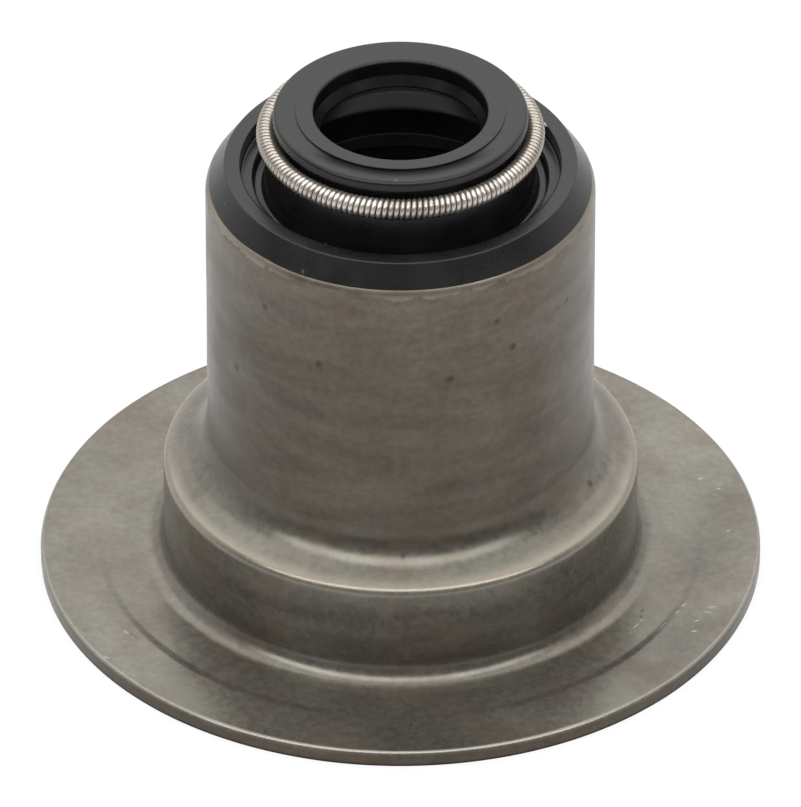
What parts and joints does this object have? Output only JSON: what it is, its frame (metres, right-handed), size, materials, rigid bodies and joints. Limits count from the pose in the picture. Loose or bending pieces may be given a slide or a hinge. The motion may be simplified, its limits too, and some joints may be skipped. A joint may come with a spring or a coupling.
{
  "type": "valve stem seal",
  "caption": "Valve stem seal: rubber lip with garter spring, bonded in a drawn steel case whose flange is the valve spring's seat.",
  "frame": {"origin": "centre of the flange's underside, on the axis of the valve stem", "axes": "+Z along the valve stem's axis, from the flange up to the lip; +X and +Y are any two directions across it, because the part is round"},
  "size_m": [0.027, 0.027, 0.02],
  "materials": {
    "case_steel": "drawn and pickled steel, warm grey satin, with fine pits, smudges and handling scuffs",
    "seal_rubber": "black moulded fluoro rubber, satin",
    "spring_steel": "bright drawn spring wire"
  },
  "bodies": {
    "root": {"steel_case": "case_steel", "rubber_seal_body": "seal_rubber", "garter_spring": "spring_steel"}
  },
  "joints": []
}
